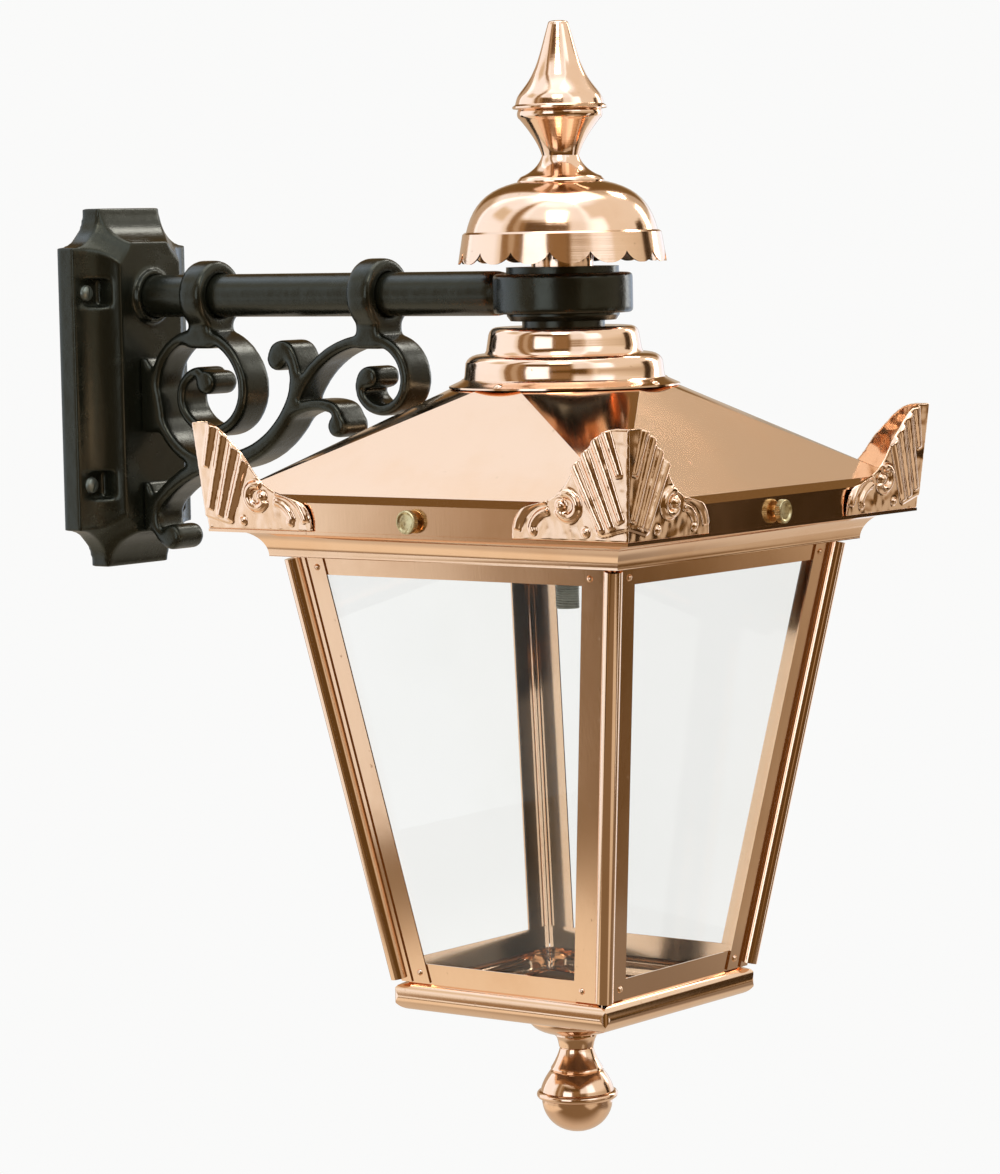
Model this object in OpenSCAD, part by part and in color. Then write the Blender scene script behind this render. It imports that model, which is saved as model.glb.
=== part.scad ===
// Square copper street lantern hung from the ring of a cast wall bracket.
// Millimetres. The wall is the plane y = 0 and the lantern hangs out towards -Y.
// +Z is up, +X is to the right when facing the wall, and x = 0 is the plane of symmetry.

/* [Wall plate] */
// Width of the wall plate
plate_w = 126; // [120:1:140]
// Height of the wall plate
plate_h = 270; // [262:1:300]
// Thickness of the flat slab against the wall
plate_t = 16.5; // [10:0.5:19]
// Radius of the hollow cut out of each corner of the slab
plate_corner_r = 29; // [20:1:32]
// Width of the raised front face
face_w = 68; // [60:1:78]
// Height of the raised front face
face_h = 218; // [216:1:230]
// Distance from the wall to the raised front face
face_depth = 37; // [30:0.5:44]
// How far the hollow sides sink below a straight slope
cove_sag = 4.5; // [2:0.5:6]
// Distance from a slab corner to the slanted corner of the front face
face_corner_r = 50; // [46:1:54]
// Sideways distance between the wall screws
screw_gap_x = 100; // [94:1:108]
// Vertical distance between the wall screws
screw_gap_z = 144; // [120:1:156]
// Diameter of the wall screw holes
screw_hole_d = 7; // [5:0.5:8]
// Height of each screw pocket
pocket_h = 21; // [16:1:24]
// Distance from the middle of the plate to the inner wall of a screw pocket
pocket_inner = 37; // [35:0.5:41]

/* [Bracket arm] */
// Height of the arm's centre line above the middle of the plate
arm_z = 68.5; // [60:0.5:76]
// Distance from the wall to the centre of the lantern
reach = 422; // [400:1:470]
// Diameter of the arm
arm_d = 32; // [26:1:36]
// Diameter of the boss round the arm on the plate
boss_d = 40; // [38:1:48]
// Length of the boss
boss_len = 5; // [3:0.5:10]
// How deep the arm stands in its socket
arm_socket = 20; // [12:1:28]
// Outer diameter of the ring
ring_od = 98; // [90:1:110]
// Bore of the ring
ring_id = 60; // [40:1:66]
// Height of the ring
ring_h = 28; // [22:1:34]
// Chamfer on the ring's edges
ring_chamfer = 1.5; // [0.5:0.25:2.5]

/* [Scroll casting] */
// Thickness of the scroll casting
scroll_t = 30; // [20:1:34]
// Width of the scroll's main band
band_w = 7.6; // [6:0.2:9]
// Width of the thick stem where it leaves the foot
stem_w = 12; // [9:0.5:14]
// Radius of the round end of a large scroll
eye_r = 8.4; // [7:0.2:9.4]
// Outer diameter of a collar on the arm
collar_d = 51; // [44:1:58]
// Length of a collar
collar_len = 21.5; // [16:0.5:26]
// Distance from the wall to the inner collar's middle
collar_near = 96; // [94:0.5:98]
// Distance from the wall to the outer collar's middle
collar_far = 256.5; // [254:0.5:259]
// Width of the neck below each collar
neck_w = 20; // [15:0.5:24]

/* [Hanging fittings] */
// Outer diameter of the threaded hanging tube
tube_d = 16; // [12:0.5:20]
// Bore of the hanging tube
tube_bore = 11; // [8:0.5:11]
// Distance that the tube reaches below the arm's centre line
tube_drop = 221; // [180:1:260]
// Diameter of the two clamping washers
washer_d = 79; // [72:1:86]
// Thickness of the upper clamping washer
upper_washer_t = 4.5; // [3:0.5:6]
// Thickness of the lower clamping washer
lower_washer_t = 5; // [3:0.5:7]
// Diameter of the spacer below the lower washer
spacer_d = 58; // [30:1:64]
// Thickness of the spacer
spacer_t = 4; // [2:0.5:6]
// Width across the flats of the nuts on the hanging tube
nut_af = 27; // [24:1:30]
// Height of the nuts on the hanging tube
nut_h = 9; // [6:0.5:12]

/* [Vent cap and spire] */
// Outer diameter of the slotted vent tube
vent_d = 43.5; // [40:0.5:56]
// Number of slots in the vent tube
vent_slots = 16; // [8:1:18]
// Width of a vent slot
vent_slot_w = 3; // [2:0.5:4]
// Diameter of the cap at its scalloped lower edge
cap_d = 146; // [130:1:160]
// Diameter of the cap's dome where it meets the skirt
dome_d = 134; // [122:1:136]
// Height of the cap from its lower edge to the top of the dome
cap_h = 59; // [54:1:66]
// Height of the cap's skirt
skirt_h = 22; // [16:0.5:26]
// Number of scallops round the cap
scallops = 16; // [10:1:22]
// Depth of a scallop
scallop_depth = 8; // [4:0.5:10]
// Distance from the upper washer to the cap's lower edge
cap_gap = 2.6; // [1:0.1:8]
// Height of the flared foot on top of the dome
flare_h = 15.5; // [12:0.5:22]
// Diameter of the flared foot
flare_d = 61; // [54:1:70]
// Diameter of the neck between the flared foot and the cup
neck_d = 26; // [22:0.2:30]
// Height of the cup below the spire
cup_h = 33.5; // [28:0.5:40]
// Diameter of the cup's rim
cup_d = 59; // [52:1:66]
// Height of the spire
spire_h = 60; // [50:1:80]
// Diameter of the thin flange between cup and spire
spire_flange_d = 66; // [62:0.5:74]

/* [Collar on the roof] */
// Height of the stepped collar
stepped_h = 42; // [38:0.5:48]
// Diameter of the collar's upper step
upper_step_d = 107.5; // [96:0.5:112]
// Diameter of the collar's lower step
lower_step_d = 140; // [130:1:146]
// Diameter of the collar's flared edge
collar_edge_d = 162; // [156:1:168]
// Diameter of the rivets in the collar's edge
collar_rivet_d = 7; // [5:0.5:8]

/* [Roof and cornice] */
// Width of the copper roof across its lower edge
roof_w = 354; // [340:1:380]
// Width of the roof's lower margin, seen from above
margin_w = 11; // [7:0.5:16]
// How far the roof's edge stands out beyond the upright band
roof_lap = 1; // [0.5:0.25:4]
// Width of the flat at the top of the roof
roof_top_w = 116; // [110:1:122]
// Slope of the roof's faces in degrees
roof_pitch = 32.4; // [30:0.2:35]
// Slope of the roof's lower margin in degrees
margin_pitch = 27; // [20:0.5:30]
// Thickness of the copper sheet
sheet_t = 1.2; // [0.8:0.1:1.6]
// Width of the folded seam along each hip
seam_w = 4; // [3:0.5:8]
// Height of the upright band between the roof and the cornice
gallery_h = 18.5; // [16:0.5:24]
// How far the cornice's lip stands out beyond the upright band
lip_out = 2; // [1.6:0.2:5]
// Thickness of the cornice's lip
lip_t = 2; // [1.6:0.1:3]
// Height of the cornice
cornice_h = 20.6; // [18:0.2:26]
// How far the cornice's hollow moulding runs in from its lip
cove_run = 29.5; // [24:0.5:34]
// Radius of the cornice's hollow moulding
cove_r = 19; // [16:0.5:20]
// Height of the rail above the glass
rail_h = 12.8; // [9:0.2:18]

/* [Corner leaves] */
// Height of a corner leaf
leaf_h = 74.5; // [60:0.5:84]
// Length of each wing of a corner leaf
leaf_w = 92; // [76:1:110]
// Outward lean of a corner leaf at its top
leaf_lean = 6.5; // [2:0.5:12]
// Thickness of the leaf's sheet
leaf_t = 1.4; // [1:0.1:2]
// Radius of a flute at its upper end
flute_r = 3.8; // [2.4:0.1:4.4]

/* [Glazed body] */
// Width of the flat soffit between the cornice and the glazed body
soffit_w = 13.3; // [8:0.1:20]
// Width across the glazed body at its foot
body_foot_w = 172.8; // [160:0.4:200]
// Height of the glazed body from the cornice to the roll of the base
body_h = 302.4; // [260:0.4:340]
// Thickness of the glass
glass_t = 3; // [2:0.5:4]
// Width of a corner post's flange on each face
post_flange_w = 24; // [20:0.5:30]
// Radius of the round bead down each corner post
bead_r = 6.3; // [5:0.1:7]
// Diameter of the post rivets' heads
rivet_d = 4.8; // [4:0.2:6]

/* [Base] */
// Height of the upright flange of the base
base_flange_h = 13.7; // [10:0.1:18]
// Radius of the round edge of the base
roll_r = 10.5; // [9:0.5:12]
// How far the round edge stands out beyond the flange
roll_out = 6; // [3:0.5:8]
// Radius of the base's corners seen from above
base_corner_r = 5; // [3:0.5:9]
// Width of the base's inner ledge
ledge_w = 16; // [12:1:30]
// Diameter of the dish below the base
dish_d = 66; // [56:1:74]
// Depth of the dish below the base
dish_h = 22; // [16:0.5:26]
// Height of the finial's waisted neck
finial_neck_h = 11; // [8:0.5:16]
// Width of the neck where it meets the bulb
finial_neck_d = 24; // [18:0.5:28]
// Height of the bulb at the bottom
bulb_h = 59.8; // [52:0.2:68]
// Distance from the top of the bulb to its bead
bead_drop = 33; // [28:0.5:38]
// Diameter of the bead round the bulb
bulb_bead_d = 57.6; // [52:0.4:64]
// Diameter of the rod that holds the finial
rod_d = 6; // [5:0.5:8]

/* [Thumb screws] */
// Diameter of a thumb screw's head
thumb_d = 15.6; // [12:0.2:17]
// Thickness of a thumb screw's head
thumb_t = 4.4; // [3:0.2:7]
// Gap between the head and the upright band
thumb_gap = 2.9; // [1:0.1:4]
// Diameter of a thumb screw's shank
thumb_shank_d = 5; // [4:0.5:6]

/* [Hidden] */
$fn = 72;
copper = "#d9936a";
cast_black = "#2b2c28";
steel = "#5d645c";
brass = "#b59a5c";
glass_tint = [0.80, 0.90, 0.88, 0.35];

running = 0.08;      // radial clearance of a turning or sliding fit
rod_socket = 26;     // depth of the blind hole in the bulb
seat = 0.02;         // clearance between sheets that lie on each other
arm_r = arm_d / 2;
tube_r = tube_d / 2;
around = 360;

// Widths, worked from the roof's edge in to the glazed body
roof_break_w = roof_w - 2 * margin_w;
gallery_w = roof_w - 2 * roof_lap;
cornice_w = gallery_w + 2 * lip_out;
cove_w = cornice_w - 2 * cove_run;
body_top_w = cove_w - 2 * soffit_w;

// Heights, worked from the arm down to the finial and up to the spire
ring_top = arm_z + ring_h / 2;
ring_foot = arm_z - ring_h / 2;
washer_top = ring_top + upper_washer_t;
washer_foot = ring_foot - lower_washer_t;
collar_top = washer_foot - spacer_t;
collar_foot = collar_top - stepped_h;
roof_top = collar_foot;
break_drop = (roof_break_w - roof_top_w) / 2 * tan(roof_pitch);
margin_drop = (roof_w - roof_break_w) / 2 * tan(margin_pitch);
roof_break_z = roof_top - break_drop;
roof_edge_z = roof_break_z - margin_drop;
cornice_top = roof_edge_z - gallery_h;
cornice_foot = cornice_top - cornice_h;
body_top = cornice_foot;
body_foot = body_top - body_h;
rail_foot = body_top - rail_h;
base_top = body_foot + base_flange_h;
base_foot = body_foot - 2 * roll_r;
ledge_top = base_foot + sheet_t;
floor_t = sheet_t;
floor_top = ledge_top + floor_t;
press = 1;
dish_top = ledge_top + press;
cap_edge = washer_top + cap_gap;
cap_top = cap_edge + cap_h;
skirt_top = cap_edge + skirt_h;
flare_top = cap_top + flare_h;
cup_top = flare_top + cup_h;
dish_foot = base_foot - dish_h;
neck_foot = dish_foot - finial_neck_h;
tube_top = flare_top + cup_h / 3;
tube_foot = arm_z - tube_drop;

// The glazed body's faces lean in towards the foot
face_run = (body_top_w - body_foot_w) / 2;
face_tilt = atan(face_run / body_h);
function skin(z) = body_top_w / 2 - (body_top - z) * tan(face_tilt);
function slant(z) = (z - body_top) / cos(face_tilt);

// Frames: a face's own plane, with X along the face, Z up the slope and -Y outwards
module to_lantern() { translate([0, -reach, 0]) children(); }
module on_side(turn) { to_lantern() rotate([0, 0, turn]) children(); }
module on_face(turn) {
    on_side(turn) translate([0, -body_top_w / 2, body_top]) rotate([face_tilt, 0, 0]) children();
}
// A flat outline in (X, Z) of the face, thick outwards from y = -from to y = -(from + t)
module face_plate(from, t) {
    translate([0, -from, 0]) rotate([90, 0, 0]) linear_extrude(t) children();
}

// A square, mitred body: the same symmetrical profile seen from the front and from the side
module hipped(length) {
    intersection() {
        rotate([90, 0, 0]) linear_extrude(length, center = true) children();
        rotate([90, 0, 90]) linear_extrude(length, center = true) children();
    }
}
// Closed outline from its right half, listed from top to bottom
function both(half) = concat(half, [for (i = [len(half) - 1 : -1 : 0]) [-half[i].x, half[i].y]]);
module square_prism(w, low, high) {
    translate([-w / 2, -w / 2, low]) cube([w, w, high - low]);
}
module disc_z(r, low, high) { translate([0, 0, low]) cylinder(r = r, h = high - low); }
module ring_z(outer_r, inner_r, low, high) {
    difference() {
        disc_z(outer_r, low, high);
        disc_z(inner_r, low - 1, high + 1);
    }
}
module hex_nut(af, bore_r, low, h) {
    translate([0, 0, low]) difference() {
        cylinder(d = af / cos(30), h = h, $fn = 6);
        translate([0, 0, -1]) cylinder(r = bore_r, h = h + 2);
    }
}

// Circle through p and q that sinks by sag below the chord, and lies on the chord's right
function hollow_r(p, q, sag) = (norm(q - p) * norm(q - p) / 4 + sag * sag) / (2 * sag);
function hollow_centre(p, q, sag) =
    (p + q) / 2 + (hollow_r(p, q, sag) - sag) * [q.y - p.y, p.x - q.x] / norm(q - p);

// Cubic curve through two end points with two handles
function curve(a, b, c, d, steps) = [
    for (i = [0 : steps - 1])
        let (t = i / steps, s = 1 - t)
            s * s * s * a + 3 * s * s * t * b + 3 * s * t * t * c + t * t * t * d
];

// Wall plate

module raised_profile(half_slab, half_face) {
    low = [half_slab, plate_t];
    high = [half_face, face_depth];
    centre = hollow_centre(low, high, cove_sag);
    difference() {
        polygon(both([[low.x, -low.y], [high.x, -high.y]]));
        for (s = [-1, 1]) translate([s * centre.x, -centre.y]) circle(r = hollow_r(low, high, cove_sag));
    }
}
// A plate lying on the wall: an outline in (X, Z), t thick
module on_wall(t) {
    rotate([90, 0, 0]) linear_extrude(t) children();
}

// Widening cutter with 24 flats, made of two twelve-sided ones, reaching past both ends
module flared_cut(r_low, r_high, h) {
    past = 4;
    spread = (r_high - r_low) / h * past;
    intersection_for(turn = [0, 15]) rotate([0, 0, turn]) translate([0, 0, -past]) cylinder(
        r1 = (r_low - spread) / cos(15), r2 = (r_high + spread) / cos(15), h = h + 2 * past, $fn = 12
    );
}

module wall_plate() {
    half_w = plate_w / 2;
    half_h = plate_h / 2;
    pocket_w = half_w - pocket_inner + 1;
    color(cast_black) difference() {
        union() {
            on_wall(plate_t) difference() {
                square([plate_w, plate_h], center = true);
                for (sx = [-1, 1], sz = [-1, 1]) translate([sx * half_w, sz * half_h]) {
                    circle(r = plate_corner_r);
                }
            }
            difference() {
                intersection() {
                    linear_extrude(plate_h, center = true) raised_profile(half_w, face_w / 2);
                    rotate([0, -90, 0]) linear_extrude(plate_w, center = true) {
                        raised_profile(half_h, face_h / 2);
                    }
                }
                for (sx = [-1, 1], sz = [-1, 1]) translate([sx * half_w, -plate_t, sz * half_h]) {
                    rotate([90, 0, 0]) flared_cut(plate_corner_r, face_corner_r, face_depth - plate_t);
                }
            }
            translate([0, -face_depth + 1, arm_z]) rotate([90, 0, 0]) {
                cylinder(d = boss_d, h = boss_len + 1);
            }
        }
        for (sx = [-1, 1], sz = [-1, 1]) translate([sx * screw_gap_x / 2, 0, sz * screw_gap_z / 2]) {
            translate([0, 1, 0]) rotate([90, 0, 0]) cylinder(d = screw_hole_d, h = plate_t + 2);
        }
        for (sx = [-1, 1], sz = [-1, 1]) {
            translate([sx * (pocket_inner + pocket_w / 2), -plate_t - face_depth / 2, sz * screw_gap_z / 2]) {
                cube([pocket_w, face_depth, pocket_h], center = true);
            }
        }
        translate([0, -face_depth + arm_socket - boss_len, arm_z]) rotate([90, 0, 0]) {
            cylinder(r = arm_r + running, h = arm_socket + 1);
        }
    }
}

// Bracket arm with the ring at its end

module bracket_arm() {
    start = face_depth + boss_len - arm_socket;
    ring_r = ring_od / 2;
    blend = 14;
    bar_end = reach - ring_r - blend + 6;
    color(cast_black) difference() {
        union() {
            translate([0, -start, arm_z]) rotate([90, 0, 0]) cylinder(r = arm_r, h = bar_end - start);
            translate([0, -bar_end, arm_z]) rotate([90, 0, 0]) {
                cylinder(r1 = arm_r, r2 = ring_h / 2 - ring_chamfer, h = blend + 4);
            }
            to_lantern() rotate_extrude() {
                polygon([
                    [ring_id / 2 - 1, ring_foot],
                    [ring_r - ring_chamfer, ring_foot],
                    [ring_r, ring_foot + ring_chamfer],
                    [ring_r, ring_top - ring_chamfer],
                    [ring_r - ring_chamfer, ring_top],
                    [ring_id / 2 - 1, ring_top]
                ]);
            }
        }
        to_lantern() disc_z(ring_id / 2, ring_foot - 1, ring_top + 1);
    }
}

// Scroll casting. Its outline is drawn in (distance from the wall, height).
// Each band is a chain of arcs: [radius, angle], turning left where the angle is positive.

arc_step = 7;
foot_back = face_depth;
main_start = [96, -56.7];
main_heading = 171.5;
main_arcs = [[54.6, -85], [41, -49], [44.6, -108.5], [31.7, -164.5], [19.8, -126.5]];
stem_start = [95, -58.4];
stem_heading = 7.3;
stem_arcs = [[425, 4.6], [80, 50.7], [39, 58.5], [9, 116]];
outer_start = [186.3, -8];
outer_heading = 64;
outer_arcs = [[78, -70], [28, -86], [22, -129.5], [15, -90]];
branch_start = [181.6, -18.3];
branch_heading = 30;
branch_arcs = [[51.6, -42.9], [10.7, -87.7]];
tail_start = [96, -58.5];
tail_heading = 185;
tail_arcs = [[31, 17.7], [118, 19.5], [20.5, 88.7], [29, 12.4]];
// Round ends: [distance from the wall, height, radius as a share of the large ends' radius]
eyes = [[100, 4, 1], [170, 22, 0.98], [256, 9, 0.93], [226, -26.8, 0.95], [62, -112.3, 1.08]];

function arc_centre(p, h, arc) = p + sign(arc[1]) * arc[0] * [-sin(h), cos(h)];
function arc_point(p, h, arc, turned) =
    let (from = h - sign(arc[1]) * 90 + turned)
        arc_centre(p, h, arc) + arc[0] * [cos(from), sin(from)];
// Stations [point, heading] along a chain of arcs
function stations(p, h, arcs, i = 0) =
    i == len(arcs) ? [[p, h]] :
    let (arc = arcs[i], n = max(1, ceil(abs(arc[1]) / arc_step)))
        concat(
            [for (k = [0 : n - 1]) [arc_point(p, h, arc, arc[1] * k / n), h + arc[1] * k / n]],
            stations(arc_point(p, h, arc, arc[1]), h + arc[1], arcs, i + 1)
        );
module band(start, heading, arcs, w_start, w_end) {
    line = stations(start, heading, arcs);
    last = len(line) - 1;
    function edge(i, side) =
        line[i][0] + side * (w_start + (w_end - w_start) * i / last) / 2
            * [-sin(line[i][1]), cos(line[i][1])];
    polygon(concat(
        [for (i = [0 : last]) edge(i, 1)],
        [for (i = [last : -1 : 0]) edge(i, -1)]
    ));
}

module scroll_outline() {
    band(main_start, main_heading, main_arcs, band_w + 0.6, band_w - 1.6);
    band(stem_start, stem_heading, stem_arcs, stem_w, band_w - 0.8);
    band(outer_start, outer_heading, outer_arcs, band_w, band_w - 0.8);
    band(branch_start, branch_heading, branch_arcs, band_w, band_w - 1);
    band(tail_start, tail_heading, tail_arcs, stem_w - 1, band_w - 0.4);
}
module scroll_feet() {
    polygon([[foot_back, 22.5], [41, 22.5], [49, 12], [55, -4], [58, -20], [52, -33.5], [foot_back, -33.5]]);
    polygon([[foot_back, -71], [41, -71], [47, -84], [48, -100], [43, -108], [foot_back, -108]]);
}
module scroll_neck(at) {
    top = arm_z - collar_d / 2 + 4;
    foot = 30;
    flare = 8;
    half = neck_w / 2;
    side = curve([half, foot + 11], [half, foot + 7], [half + flare * 0.45, foot + 4.4], [half + flare, foot + 3], 6);
    translate([at, 0]) polygon(both(concat([[half, top]], side, [[half + flare, foot + 3], [half, foot]])));
}
// Turns an outline in (distance from the wall, height) upright, centred on x = 0
module upright(t) {
    rotate([90, 0, -90]) translate([0, 0, -t / 2]) linear_extrude(t) children();
}

module scroll_casting() {
    color(cast_black) difference() {
        union() {
            upright(scroll_t) scroll_outline();
            upright(scroll_t) scroll_feet();
            for (eye = eyes) rotate([90, 0, -90]) translate([eye[0], eye[1], -scroll_t / 2]) {
                cylinder(r = eye_r * eye[2], h = scroll_t);
            }
            for (at = [collar_near, collar_far]) {
                upright(scroll_t) scroll_neck(at);
                translate([0, -at + collar_len / 2, arm_z]) rotate([90, 0, 0]) {
                    rotate_extrude() polygon([
                        [0, 0], [collar_d / 2 - 2, 0], [collar_d / 2, 2],
                        [collar_d / 2, collar_len - 2], [collar_d / 2 - 2, collar_len], [0, collar_len]
                    ]);
                }
            }
        }
        translate([0, -face_depth - boss_len, arm_z]) rotate([90, 0, 0]) {
            cylinder(r = arm_r + running, h = collar_far);
        }
    }
}

// Hanging fittings

module upper_washer() {
    color(cast_black) to_lantern() ring_z(washer_d / 2, tube_r + running, ring_top, washer_top);
}
module lower_washer() {
    bevel = 2.5;
    color(cast_black) to_lantern() difference() {
        rotate_extrude() polygon([
            [0, washer_foot], [washer_d / 2 - bevel, washer_foot],
            [washer_d / 2, ring_foot - 1.5], [washer_d / 2, ring_foot], [0, ring_foot]
        ]);
        disc_z(tube_r + running, washer_foot - 1, ring_foot + 1);
    }
}
module spacer() {
    color(cast_black) to_lantern() ring_z(spacer_d / 2, tube_r + running, collar_top, washer_foot);
}
module hanging_tube() {
    color(steel) to_lantern() ring_z(tube_r, tube_bore / 2, tube_foot, tube_top);
}
module upper_nut() {
    color(steel) to_lantern() hex_nut(nut_af, tube_r + running, washer_top, nut_h);
}
module roof_nut() {
    color(steel) to_lantern() hex_nut(nut_af, tube_r + running, roof_top - sheet_t - nut_h, nut_h);
}

// Vent tube, scalloped cap and spire

dome_under = cap_top - sheet_t;
vent_top = dome_under - 2;
module vent_tube() {
    slot_low = washer_top + 5;
    slot_high = vent_top - 9;
    color(copper) to_lantern() difference() {
        ring_z(vent_d / 2, vent_d / 2 - sheet_t, washer_top, vent_top);
        for (i = [0 : vent_slots - 1]) rotate([0, 0, i * around / vent_slots]) {
            translate([vent_d / 2, 0, (slot_low + slot_high) / 2]) {
                cube([6, vent_slot_w, slot_high - slot_low], center = true);
            }
        }
    }
}

function dome_curve(r, top, foot) = concat(
    curve([0, top], [r * 0.68, top], [r * 0.91, top - (top - foot) * 0.32], [r, foot], 14),
    [[r, foot]]
);
module cap_outline(inset) {
    r_dome = dome_d / 2 - inset;
    r_edge = cap_d / 2 - inset;
    polygon(concat(
        dome_curve(r_dome, cap_top - inset, skirt_top),
        [
            [r_dome + 0.8, skirt_top - inset], [r_dome + 2.6, skirt_top - 1.4 - inset],
            [r_edge, cap_edge - inset], [0, cap_edge - inset]
        ]
    ));
}
// Opening between two scallops: a pointed arch made of two quarter curves
module scallop_arch(half, h) {
    side = curve([0, h], [half * 0.14, h * 0.5], [half * 0.5, h * 0.02], [half * 0.98, -0.2], 6);
    polygon(both(concat(side, [[half * 0.98, -0.2], [half * 0.98, -2]])));
}
module vent_cap() {
    pitch = around / scallops;
    edge_r = cap_d / 2;
    color(copper) to_lantern() difference() {
        rotate_extrude() cap_outline(0);
        rotate_extrude() cap_outline(sheet_t);
        for (i = [0 : scallops - 1]) rotate([0, 0, (i + 0.3) * pitch]) {
            translate([edge_r - 8, 0, cap_edge]) rotate([90, 0, 90]) linear_extrude(16) {
                scallop_arch(edge_r * sin(pitch / 2), scallop_depth);
            }
        }
        disc_z(tube_r + running, dome_under - 20, cap_top + 1);
    }
}
module cap_flare() {
    r_neck = neck_d / 2;
    r_foot = flare_d / 2;
    color(copper) to_lantern() difference() {
        rotate_extrude() polygon(concat(
            [[0, cap_top - 1.2], [r_foot, cap_top - 3], [r_foot, cap_top - 1.8], [r_foot - 2.4, cap_top + 1]],
            curve([r_foot - 2.4, cap_top + 1], [r_neck + 7.5, cap_top + 4], [r_neck + 2.2, flare_top - 7],
                [r_neck, flare_top], 8),
            [[r_neck, flare_top], [0, flare_top]]
        ));
        difference() {
            rotate_extrude() cap_outline(-seat);
            disc_z(1, cap_edge - 1, cap_edge + 1);
        }
        disc_z(tube_r + running, cap_edge, flare_top + 1);
    }
}
module spire_cup() {
    r_neck = neck_d / 2;
    r_rim = cup_d / 2;
    lip = 6.5;
    color(copper) to_lantern() difference() {
        rotate_extrude() polygon(concat(
            [[0, flare_top]],
            curve([r_neck, flare_top], [r_neck + 1.5, flare_top + 6.5], [r_rim - 10, cup_top - lip - 12],
                [r_rim - 1.4, cup_top - lip - 1.6], 9),
            curve([r_rim - 1.4, cup_top - lip - 1.6], [r_rim + 0.6, cup_top - lip - 0.6],
                [r_rim + 0.8, cup_top - 3.4], [r_rim - 0.6, cup_top - 1.6], 6),
            [[r_rim - 0.6, cup_top - 1.6], [spire_flange_d / 2 - 0.6, cup_top - 1],
                [spire_flange_d / 2, cup_top - 0.6], [spire_flange_d / 2, cup_top], [0, cup_top]]
        ));
        disc_z(tube_r + running, flare_top - 1, tube_top + 0.5);
    }
}
module spire() {
    tip_r = 7;
    shoulder_r = spire_flange_d / 2 - 2.8;
    top = cup_top + spire_h;
    color(copper) to_lantern() rotate_extrude() polygon(concat(
        [[0, cup_top], [spire_flange_d / 2, cup_top], [spire_flange_d / 2, cup_top + 0.6]],
        [[shoulder_r + 0.8, cup_top + 2]],
        curve([shoulder_r, cup_top + 5], [shoulder_r - 0.8, cup_top + 10], [22, cup_top + 15],
            [17.8, cup_top + 25], 8),
        curve([17.8, cup_top + 25], [13.8, cup_top + 33], [11.4, top - 16], [tip_r, top - 1.6], 8),
        curve([tip_r, top - 1.6], [tip_r - 0.5, top - 0.4], [tip_r - 2, top], [0, top], 4),
        [[0, top]]
    ));
}

// Stepped collar on the roof

edge_high = collar_foot + sheet_t + 3.6;
edge_run = collar_edge_d / 2 - lower_step_d / 2 - 3;
module stepped_outline(inset) {
    r1 = upper_step_d / 2 - inset;
    r2 = lower_step_d / 2 - inset;
    r3 = collar_edge_d / 2 - (inset > 0 ? inset * 1.2 : 0);
    top = collar_top - inset;
    mid = collar_top - stepped_h * 0.44 - inset;
    low = collar_top - stepped_h * 0.83 - inset;
    polygon(concat(
        [[0, top]],
        curve([r1 - 8, top], [r1 - 3.4, top], [r1 - 1, top - 2.6], [r1 - 0.6, top - 8], 6),
        [[r1 + 0.8, mid + 2]],
        curve([r1 + 2, mid], [r2 - 6, mid - 0.2], [r2 - 1.4, mid - 2.2], [r2 - 0.2, mid - 9], 7),
        [[r2, low + 1]],
        [[r2 + 0.8, low - 1.4], [r2 + 1.6, edge_high - inset + 1.2], [r2 + 3 + inset, edge_high - inset]],
        [[r3, collar_foot + sheet_t - inset], [r3, collar_foot - inset], [0, collar_foot - inset]]
    ));
}
module stepped_collar() {
    color(copper) to_lantern() difference() {
        rotate_extrude() stepped_outline(0);
        rotate_extrude() stepped_outline(sheet_t);
        disc_z(tube_r + running, collar_top - 3, collar_top + 1);
    }
}
module rivet_head(d, crown) {
    ball_r = (d * d / 4 + crown * crown) / (2 * crown);
    rotate_extrude() intersection() {
        translate([0, crown - ball_r]) circle(r = ball_r);
        square([d, d]);
    }
}
module collar_rivets() {
    slope = atan(3.6 / edge_run);
    color(copper) for (i = [0 : 3]) on_side(i * 90) {
        translate([0, -collar_edge_d / 2 + edge_run / 2, edge_high - 1.8 + seat]) rotate([slope, 0, 0]) {
            rivet_head(collar_rivet_d, 1.4);
        }
    }
}

// Roof, gallery band, cornice and rail

module roof_profile(inset) {
    drop = inset / cos(roof_pitch);
    polygon(both([
        [roof_top_w / 2 - inset * tan(roof_pitch / 2), roof_top - inset],
        [roof_break_w / 2, roof_break_z - drop],
        [roof_w / 2, roof_edge_z + sheet_t - drop],
        [roof_w / 2, roof_edge_z - drop]
    ]));
}
module roof() {
    hip_run = (roof_break_w - roof_top_w) / 2 * sqrt(2);
    hip_fall = atan(break_drop / hip_run);
    hip_len = hip_run / cos(hip_fall);
    color(copper) to_lantern() difference() {
        union() {
            hipped(roof_w + 20) roof_profile(0);
            for (i = [0 : 3]) rotate([0, 0, 45 + 90 * i]) {
                translate([roof_top_w / sqrt(2), 0, roof_top]) rotate([0, hip_fall, 0]) {
                    translate([0, -seam_w / 2, -2]) cube([hip_len, seam_w, 3]);
                }
            }
        }
        hipped(roof_w + 20) roof_profile(sheet_t);
        disc_z(tube_r + running, roof_top - 5, roof_top + 5);
    }
}
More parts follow.
